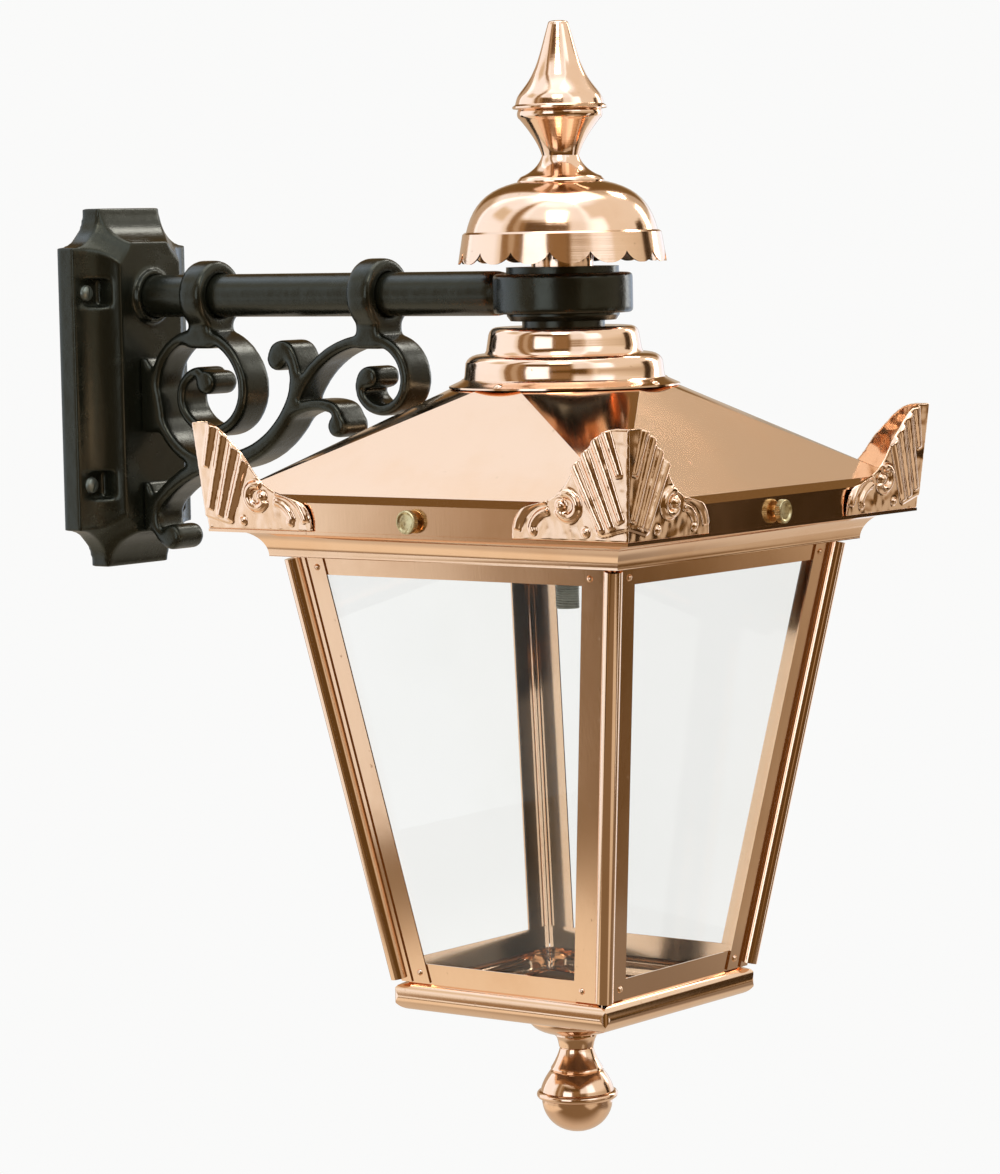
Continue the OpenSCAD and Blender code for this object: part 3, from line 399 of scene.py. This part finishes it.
def threaded_steel(name):
    """Dull grey-green plated steel, oily in the roots."""
    material, s = blank_material(name)
    smear = s.noise(s.object_point(), 120.0, rough=0.6)
    colour = s.mix_colour(smear, rgba(0.13, 0.14, 0.11), rgba(0.36, 0.37, 0.30))
    s.finish(colour, 0.85, 0.32 + smear * 0.2, s.bump(smear, strength=0.2, distance=0.0004))
    return material


def turned_brass(name):
    """Turned brass, browned where the knurl holds dirt."""
    material, s = blank_material(name)
    point = s.object_point()
    smear = s.noise(point, 260.0, rough=0.6)
    stain = s.step(s.noise(point, 420.0, detail=2.0), 0.52, 0.74)
    colour = s.mix_colour(smear, rgba(0.55, 0.42, 0.18), rgba(0.86, 0.74, 0.44))
    colour = s.mix_colour(stain * 0.55, colour, rgba(0.20, 0.12, 0.045))
    s.finish(colour, 1.0, 0.20 + smear * 0.18, s.bump(smear, strength=0.15, distance=0.0003))
    return material


def window_glass(name):
    """Clear float glass that lets the studio light through without a solid shadow."""
    material, s = blank_material(name)
    smear = s.step(s.noise(s.object_point(), 6.0, rough=0.6), 0.40, 0.75)
    colour = s.mix_colour(smear, rgba(0.972, 0.975, 0.968), rgba(0.955, 0.960, 0.950))
    pane = s.node(
        "ShaderNodeBsdfPrincipled",
        Base_Color=colour,
        Roughness=0.0,
        IOR=1.33,
        Transmission_Weight=1.0,
    )
    clear = s.node("ShaderNodeBsdfTransparent", Color=rgba(0.96, 0.97, 0.965))
    s.surface(s.node("ShaderNodeMixShader", i0=s.ray("Shadow"), i1=pane, i2=clear))
    return material


# ---------------------------------------------------------------- mesh helpers


def placed(name, data):
    piece = bpy.data.objects.new(name, data)
    bpy.context.scene.collection.objects.link(piece)
    return piece


def cad_copy(node_name, suffix):
    """A new piece from a CAD mesh, its loose triangles joined and its stored normals left out."""
    work = bmesh.new()
    work.from_mesh(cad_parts[node_name].data)
    bmesh.ops.remove_doubles(work, verts=work.verts, dist=2e-6)
    work.verts.index_update()
    points = [tuple(v.co) for v in work.verts]
    faces = [[v.index for v in face.verts] for face in work.faces]
    work.free()
    mesh = bpy.data.meshes.new(node_name)
    mesh.from_pydata(points, [], faces)
    return placed(node_name + suffix, mesh)


def closed_mesh(name, points, faces):
    """A mesh from points and faces, its doubles merged and its faces turned outwards."""
    work = bmesh.new()
    corners = [work.verts.new(point) for point in points]
    for face in faces:
        work.faces.new([corners[i] for i in face])
    bmesh.ops.remove_doubles(work, verts=work.verts, dist=1e-6)
    bmesh.ops.recalc_face_normals(work, faces=work.faces)
    mesh = bpy.data.meshes.new(name)
    work.to_mesh(mesh)
    work.free()
    return mesh


def settled(piece):
    """Turns the piece's modifiers into plain mesh."""
    graph = bpy.context.evaluated_depsgraph_get()
    mesh = bpy.data.meshes.new_from_object(piece.evaluated_get(graph))
    piece.modifiers.clear()
    piece.data = mesh
    return piece


def smoothed(piece, crease):
    """Shades the piece as one smooth surface between its sharp edges."""
    piece.data.shade_smooth()
    piece.data.set_sharp_from_angle(angle=crease)


def finished(piece, body, finish):
    piece.data.materials.clear()
    piece.data.materials.append(finish)
    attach(piece, body)


# ---------------------------------------------------------------- pieces that replace CAD nodes


def softened(node_name, grain, passes, growth, slot, finish):
    """A CAD casting or pressing with its corners rounded, as a mould or a press leaves them."""
    piece = cad_copy(node_name, "_soft")
    remesh = piece.modifiers.new("grain", "REMESH")
    remesh.mode = "VOXEL"
    remesh.voxel_size = grain
    remesh.use_smooth_shade = True
    soften = piece.modifiers.new("soften", "SMOOTH")
    soften.factor = 0.5
    soften.iterations = passes
    swell = piece.modifiers.new("swell", "DISPLACE")
    swell.strength = growth
    swell.mid_level = 0.0
    settled(piece)
    piece.data.shade_smooth()
    finished(piece, LANTERN, finish)
    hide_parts(node_name)


def respun(node_name, finish):
    """A turned CAD piece shaded as one smooth surface between its real corners."""
    piece = cad_copy(node_name, "_spun")
    smoothed(piece, CREASE)
    finished(piece, LANTERN, finish)
    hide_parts(node_name)


def transition_roof(finish):
    """The roof as its sheet is really bent: four flat sides, and corners that are parts of cones.

    The sheet runs from a square at the eaves to a round neck under the collar, so every corner
    opens out upwards into a quarter of the neck."""
    low, high = (Vector(corner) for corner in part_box("roof"))
    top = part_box("stepped_collar")[0][2]
    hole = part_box("hanging_tube")[1][0] + TUBE_PLAY
    eaves = high.x
    fold = eaves - ROOF_MARGIN
    fold_z = low.z + ROOF_MARGIN * math.tan(MARGIN_PITCH) + SHEET * 0.2
    # on a slope, the sheet's inner face lies this far below and within its outer face
    below, within = SHEET * 1.2, SHEET * 0.4

    middle = math.pi / 4
    quarters = [math.pi / 2 * corner for corner in range(4)]
    spread = (middle - NECK_FLAT) * 2 / CONE_STEPS
    steps = range(CONE_STEPS + 1)
    neck_turns = [quarter + NECK_FLAT + spread * step for quarter in quarters for step in steps]
    corner_turns = [middle + quarter for quarter in quarters for _ in steps]

    def ring(radius, turns, level):
        return [(radius * math.cos(t), radius * math.sin(t) - REACH, level) for t in turns]

    def square(half, level):
        return ring(half * math.sqrt(2), corner_turns, level)

    rings = [
        ring(NECK_RADIUS, neck_turns, top),
        square(fold, fold_z),
        square(eaves, low.z + SHEET),
        square(eaves, low.z),
        square(fold, fold_z - below),
        ring(NECK_RADIUS - within, neck_turns, top - SHEET),
        ring(hole, neck_turns, top - SHEET),
        ring(hole, neck_turns, top),
    ]
    count = len(neck_turns)
    faces = []
    for index in range(len(rings)):
        first, second = index * count, (index + 1) % len(rings) * count
        for step in range(count):
            ahead = (step + 1) % count
            faces.append((first + step, first + ahead, second + ahead, second + step))
    points = [point for points_of_ring in rings for point in points_of_ring]
    piece = placed("roof_sheet", closed_mesh("roof_sheet", points, faces))
    smoothed(piece, ROOF_CREASE)
    finished(piece, LANTERN, finish)
    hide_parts("roof")


# ---------------------------------------------------------------- small pieces that repeat


class Repeat:
    """A Geometry Nodes tree with named inputs, ending in Realize Instances and Set Material."""

    def __init__(self, name, **inputs):
        self.tree = bpy.data.node_groups.new(name, "GeometryNodeTree")
        self.identifiers = {}
        face = self.tree.interface
        for label, kind in {"Geometry": "Geometry", **inputs}.items():
            title = label.replace("_", " ")
            socket = face.new_socket(title, in_out="INPUT", socket_type="NodeSocket" + kind)
            self.identifiers[label] = socket.identifier
        face.new_socket("Geometry", in_out="OUTPUT", socket_type="NodeSocketGeometry")
        self.entry = self.tree.nodes.new("NodeGroupInput")

    def given(self, label):
        return self.entry.outputs[label.replace("_", " ")]

    def node(self, kind, settings=None, output=0, **sockets):
        return add_node(self.tree, kind, settings, sockets).outputs[output]

    def rotation(self, euler):
        return self.node("FunctionNodeEulerToRotation", i0=euler)

    def finish(self, geometry):
        real = self.node("GeometryNodeRealizeInstances", Geometry=geometry)
        dressed = self.node(
            "GeometryNodeSetMaterial", Geometry=real, Material=self.given("Finish")
        )
        out = self.tree.nodes.new("NodeGroupOutput")
        self.tree.links.new(dressed, out.inputs[0])

    def made(self, name, mesh, **values):
        """A piece with this tree run on the mesh, as plain mesh."""
        piece = placed(name, mesh)
        modifier = piece.modifiers.new("repeat", "NODES")
        modifier.node_group = self.tree
        for label, value in values.items():
            modifier[self.identifiers[label]] = value
        return settled(piece)


def screw_head_mesh():
    """Slotted round head, its axis along -Y, its seat at y = 0: two half domes on a low disc."""
    radius = 0.0062
    height = 0.0038
    slot = 0.0017
    slot_floor = 0.0021
    steps = 14
    rings = 6
    points, faces = [], []
    for side in (-1, 1):
        start = len(points)
        for ring in range(rings + 1):
            lift = ring / rings
            level = height * math.sin(lift * math.pi / 2) if ring else 0.0
            # the dome stops a little short of its pole, and never closer in than its slot
            reach = max(radius * math.cos(lift * math.pi / 2 * 0.93), slot * 0.62)
            limit = math.acos(min(slot / 2 / reach, 1.0))
            for step in range(steps + 1):
                turn = -limit + 2 * limit * step / steps
                points.append((side * reach * math.cos(turn), -level, reach * math.sin(turn)))
        row = steps + 1
        for ring in range(rings):
            for step in range(row):
                a = start + ring * row + step
                b = start + ring * row + (step + 1) % row
                faces.append((a, b, b + row, a + row))
        faces.append(tuple(start + i for i in range(row)))
        faces.append(tuple(start + rings * row + i for i in range(row)))
    start = len(points)
    disc = 2 * steps
    for level, reach in ((0.0, radius * 0.97), (slot_floor, radius * 0.90)):
        for step in range(disc):
            turn = 2 * math.pi * step / disc
            points.append((reach * math.cos(turn), -level, reach * math.sin(turn)))
    for step in range(disc):
        a, b = start + step, start + (step + 1) % disc
        faces.append((a, b, b + disc, a + disc))
    faces.append(tuple(start + i for i in range(disc)))
    faces.append(tuple(start + disc + i for i in range(disc)))
    return closed_mesh("screw_head", points, faces)


def wall_screws(finish):
    """Four slotted screws in the plate's pockets, each turned its own way."""
    tree = Repeat(
        "wall_screws", Width="Float", Height="Float", Depth="Float", Seed="Int", Finish="Material"
    )
    grid = tree.node(
        "GeometryNodeMeshGrid",
        Size_X=tree.given("Width"),
        Size_Y=tree.given("Height"),
        Vertices_X=2,
        Vertices_Y=2,
    )
    spots = tree.node(
        "GeometryNodeTransform",
        Geometry=grid,
        Translation=tree.node("ShaderNodeCombineXYZ", Y=tree.given("Depth")),
        Rotation=tree.rotation((math.pi / 2, 0, 0)),
    )
    # sockets 2 and 3 and output 1 of a Random Value node are its numbers
    turn = tree.node(
        "FunctionNodeRandomValue",
        {"data_type": "FLOAT"},
        output=1,
        i2=SLOT_TURNS[0],
        i3=SLOT_TURNS[1],
        Seed=tree.given("Seed"),
    )
    heads = tree.node(
        "GeometryNodeInstanceOnPoints",
        Points=spots,
        Instance=tree.given("Geometry"),
        Rotation=tree.rotation(tree.node("ShaderNodeCombineXYZ", Y=turn)),
    )
    tree.finish(heads)
    piece = tree.made(
        "wall_screws",
        screw_head_mesh(),
        Width=2 * SCREW_X,
        Height=2 * SCREW_Z,
        Depth=POCKET_Y,
        Seed=7,
        Finish=finish,
    )
    smoothed(piece, CREASE)
    finished(piece, LANTERN, finish)


def knurl_tree():
    """Ridges standing round a rim, with the rim turned and placed by the inputs."""
    tree = Repeat(
        "knurl", Count="Int", Rim="Float", Turn="Vector", Place="Vector", Finish="Material"
    )
    count = tree.given("Count")
    circle = tree.node("GeometryNodeMeshCircle", Vertices=count, Radius=tree.given("Rim"))
    index = tree.node("GeometryNodeInputIndex")
    share = tree.node("ShaderNodeMath", {"operation": "DIVIDE"}, i0=index, i1=count)
    angle = tree.node("ShaderNodeMath", {"operation": "MULTIPLY"}, i0=share, i1=2 * math.pi)
    ridges = tree.node(
        "GeometryNodeInstanceOnPoints",
        Points=circle,
        Instance=tree.given("Geometry"),
        Rotation=tree.rotation(tree.node("ShaderNodeCombineXYZ", Z=angle)),
    )
    placed_ring = tree.node(
        "GeometryNodeTransform",
        Geometry=ridges,
        Translation=tree.given("Place"),
        Rotation=tree.rotation(tree.given("Turn")),
    )
    tree.finish(placed_ring)
    return tree


def ridge_mesh():
    """One knurl ridge: a roof-shaped bar along Z, with the head's rim at x = 0."""
    half = RIDGE_WIDTH / 2
    section = (
        (-RIDGE_ROOT, -half),
        (-RIDGE_ROOT, half),
        (0, half),
        (RIDGE_CREST, 0),
        (0, -half),
    )
    ends = (-RIDGE_LENGTH / 2, RIDGE_LENGTH / 2)
    points = [(x, y, z) for z in ends for x, y in section]
    faces = [(4, 3, 2, 1, 0), (5, 6, 7, 8, 9)]
    faces += [(i, (i + 1) % 5, (i + 1) % 5 + 5, i + 5) for i in range(5)]
    return closed_mesh("ridge", points, faces)


def thumb_knurls(finish):
    tree = knurl_tree()
    for side, axis in SIDES.items():
        low, high = (Vector(corner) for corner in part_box("thumb_screw_" + side))
        middle = (low + high) / 2
        along = Vector(axis)
        outer = max(abs(corner.dot(along) - middle.dot(along)) for corner in (low, high))
        piece = tree.made(
            "knurl_" + side,
            ridge_mesh(),
            Count=KNURL_RIDGES,
            Rim=(high.z - low.z) / 2,
            Turn=tuple(along.to_track_quat("Z", "Y").to_euler()),
            Place=tuple(middle + along * (outer - KNURL_INSET)),
            Finish=finish,
        )
        finished(piece, "thumb_" + side, finish)


def tube_thread(finish):
    """The thread cut on the hanging tube below the roof, as one thin spiral ridge."""
    tree = Repeat(
        "tube_thread",
        Turns="Float",
        Crest="Float",
        Length="Float",
        Ridge="Float",
        Place="Vector",
        Finish="Material",
    )
    spiral = tree.node(
        "GeometryNodeCurveSpiral",
        Resolution=26,
        Rotations=tree.given("Turns"),
        Start_Radius=tree.given("Crest"),
        End_Radius=tree.given("Crest"),
        Height=tree.given("Length"),
    )
    profile = tree.node(
        "GeometryNodeCurvePrimitiveCircle", Resolution=3, Radius=tree.given("Ridge")
    )
    ridge = tree.node(
        "GeometryNodeCurveToMesh", Curve=spiral, Profile_Curve=profile, Fill_Caps=True
    )
    tree.finish(
        tree.node("GeometryNodeTransform", Geometry=ridge, Translation=tree.given("Place"))
    )
    low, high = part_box("hanging_tube")
    piece = tree.made(
        "tube_thread",
        bpy.data.meshes.new("spiral"),
        Turns=THREAD_LENGTH / THREAD_PITCH,
        Crest=(high[0] - low[0]) / 2 + THREAD_LIFT,
        Length=THREAD_LENGTH,
        Ridge=THREAD_RIDGE,
        Place=(0, -REACH, low[2] + THREAD_START),
        Finish=finish,
    )
    finished(piece, LANTERN, finish)


# ---------------------------------------------------------------- dressing


def dress_cad_nodes(finishes):
    """Gives every carried-over node its finish."""
    finish_of = {node: finish for finish, nodes in DRESSING.items() for node in nodes}
    for name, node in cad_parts.items():
        for place in node.material_slots:
            place.material = finishes[finish_of.get(name, "sheet")]


# ---------------------------------------------------------------- studio


def studio_world():
    """White to the eye and through glass; soft boxes, drapes and a dim room in reflections."""
    world = bpy.data.worlds.new("studio")
    bpy.context.scene.world = world
    s = Shader(world)
    x, y, z = s.split(s.node("ShaderNodeTexCoord", output="Generated"))
    side = x * PICTURE_RIGHT[0] + y * PICTURE_RIGHT[1]
    near = x * CAMERA_WARD[0] + y * CAMERA_WARD[1]
    turn = side.angle_from(near) * (180 / math.pi)

    def window(left, right, low, high, soft, soft_z, share):
        return (
            s.step(turn, left - soft, left + soft)
            * s.step(turn, right + soft, right - soft)
            * s.step(z, low - soft_z, low + soft_z)
            * s.step(z, high + soft_z, high - soft_z)
        ) * share

    level = ROOM_LEVEL
    for spot in ROOM_WINDOWS:
        level = level + window(*spot)
    # the ceiling right above is the brightest
    level = level + s.step(z, 0.86, 0.97) * 0.7
    # straight behind, above the bracket, the room is dark: the roof's corner cones show it
    alley = s.step(near * -1.0, 0.05, 0.2) * s.step(z, 0.16, 0.30) * s.step(z, 0.92, 0.84)
    alley = alley * (s.step(turn, 153.0, 157.5) + s.step(turn, -152.0, -158.0))
    for shade in ROOM_SHADES:
        level = level * (1.0 - window(*shade))
    level = level * (1.0 - alley.clamped() * 0.66) * (1.0 - window(*DOORWAY))
    dim, lit, bright = rgba(1.0, 0.56, 0.17), rgba(1.0, 0.94, 0.82), rgba(0.90, 1.03, 1.25)
    tint = s.mix_colour(s.step(level, 0.10, 0.75), dim, lit)
    tint = s.mix_colour(s.step(level, 0.75, 1.25), tint, bright)
    room = s.node("ShaderNodeBackground", Color=tint, Strength=level)
    white = s.node("ShaderNodeBackground", Color=WHITE, Strength=1.0)
    seen = (s.ray("Camera") + s.ray("Transmission")).clamped()
    mixed = s.node("ShaderNodeMixShader", i0=seen, i1=room, i2=white)
    s.surface(mixed, "ShaderNodeOutputWorld")


def studio_floor():
    """A pale round floor that melts into the white and keeps the shadow under the lantern."""
    turns = [2 * math.pi * i / FLOOR_STEPS for i in range(FLOOR_STEPS)]
    rim = [
        (FLOOR_RADIUS * math.cos(t), -REACH + FLOOR_RADIUS * math.sin(t), FLOOR_LEVEL)
        for t in turns
    ]
    mesh = bpy.data.meshes.new("studio_floor")
    mesh.from_pydata(rim, [], [tuple(range(FLOOR_STEPS))])
    floor = placed("studio_floor", mesh)
    material, s = blank_material("studio_floor")
    x, y, _ = s.split(s.object_point(place=(0, REACH, 0)))
    far = s.step((x * x + y * y) ** 0.5, 0.35, 1.45)
    near = x * CAMERA_WARD[0] + y * CAMERA_WARD[1]
    side = x * PICTURE_RIGHT[0] + y * PICTURE_RIGHT[1]

    # in reflections the floor is dark towards the camera and at the right, with pale patches
    dark_front = s.step(near, -0.15, 0.35)
    dark_right = s.step(side, 0.7, 1.0) * s.step(near, -0.85, -0.5) * s.step(near, 0.4, 0.1)
    pale_left = s.step(side, -0.6, -0.85) * s.step(side, -1.5, -1.3) * s.step(near, 0.6, 0.4)
    pale_front = s.step(side, 0.45, 0.65) * s.step(near, 0.45, 0.65)
    shown = s.mix_colour(dark_front, rgba(0.66, 0.60, 0.52), rgba(0.24, 0.17, 0.10))
    shown = s.mix_colour(dark_right * 0.7, shown, rgba(0.10, 0.055, 0.025))
    pale = (pale_left + pale_front * 0.7).clamped()
    shown = s.mix_colour(pale, shown, rgba(0.92, 0.84, 0.72))
    room = s.node("ShaderNodeEmission", Color=shown, Strength=1.0)

    # seen directly it glows white, and under the lantern a little of its shadow stays
    direct = s.ray("Camera") + s.ray("Transmission")
    matt = s.node("ShaderNodeBsdfDiffuse", Color=rgba(0.82, 0.82, 0.81))
    glow = s.node("ShaderNodeEmission", Color=WHITE, Strength=1.0)
    share = (direct * (0.72 + far * 0.28)).clamped()
    seen = s.node("ShaderNodeMixShader", i0=share, i1=matt, i2=glow)
    s.surface(s.node("ShaderNodeMixShader", i0=s.ray("Glossy"), i1=seen, i2=room))
    mesh.materials.append(material)


def softbox(name, place, aim, size, power):
    lamp = bpy.data.lights.new(name, "AREA")
    lamp.shape = "RECTANGLE"
    lamp.size, lamp.size_y = size
    lamp.energy = power
    holder = placed(name, lamp)
    holder.location = place
    holder.rotation_mode = "QUATERNION"
    holder.rotation_quaternion = (aim - place).to_track_quat("-Z", "Y")


def photo_camera():
    """The camera that the photograph was taken with."""
    camera = bpy.data.cameras.new("camera")
    camera.lens = LENS_MM
    camera.sensor_width = SENSOR_MM
    camera.clip_start = 0.05
    camera.clip_end = 60.0
    holder = placed("camera", camera)
    heading, tilt, roll = (math.radians(angle) for angle in CAMERA_TURNS)
    level = Vector((math.cos(heading), math.sin(heading), 0))
    right = Vector((math.sin(heading), -math.cos(heading), 0))
    ahead = level * math.cos(tilt) - Vector((0, 0, 1)) * math.sin(tilt)
    up = right.cross(ahead)
    right_rolled = right * math.cos(roll) + up * math.sin(roll)
    up_rolled = up * math.cos(roll) - right * math.sin(roll)
    turned = Matrix((right_rolled, up_rolled, -ahead)).transposed()
    holder.rotation_mode = "QUATERNION"
    holder.rotation_quaternion = turned.to_quaternion()
    holder.location = CAMERA_PLACE
    bpy.context.scene.camera = holder


# ---------------------------------------------------------------- assembly

finishes = {
    "sheet": sheet_copper("sheet_copper"),
    "pressed": sheet_copper("pressed_copper", ripple=0.0019, waves=70.0),
    "spun": spun_copper("spun_copper"),
    "mill": mill_copper("mill_copper"),
    "paint": cast_paint("cast_paint"),
    "steel": threaded_steel("threaded_steel"),
    "brass": turned_brass("turned_brass"),
    "glass": window_glass("window_glass"),
}
dress_cad_nodes(finishes)
for casting, softness in CASTINGS.items():
    softened(casting, *softness, "bracket_black", finishes["paint"])
for corner in CORNERS:
    softened("leaf_" + corner, *LEAF_PRESSING, "copper", finishes["pressed"])
transition_roof(finishes["sheet"])
for part in SPUN_PARTS:
    respun(part, finishes["spun"])
wall_screws(finishes["steel"])
thumb_knurls(finishes["brass"])
tube_thread(finishes["steel"])
photo_camera()
studio_world()
studio_floor()
for lamp_name, lamp_settings in LAMPS.items():
    softbox(lamp_name, *lamp_settings)

bpy.context.scene.view_settings.view_transform = "Standard"
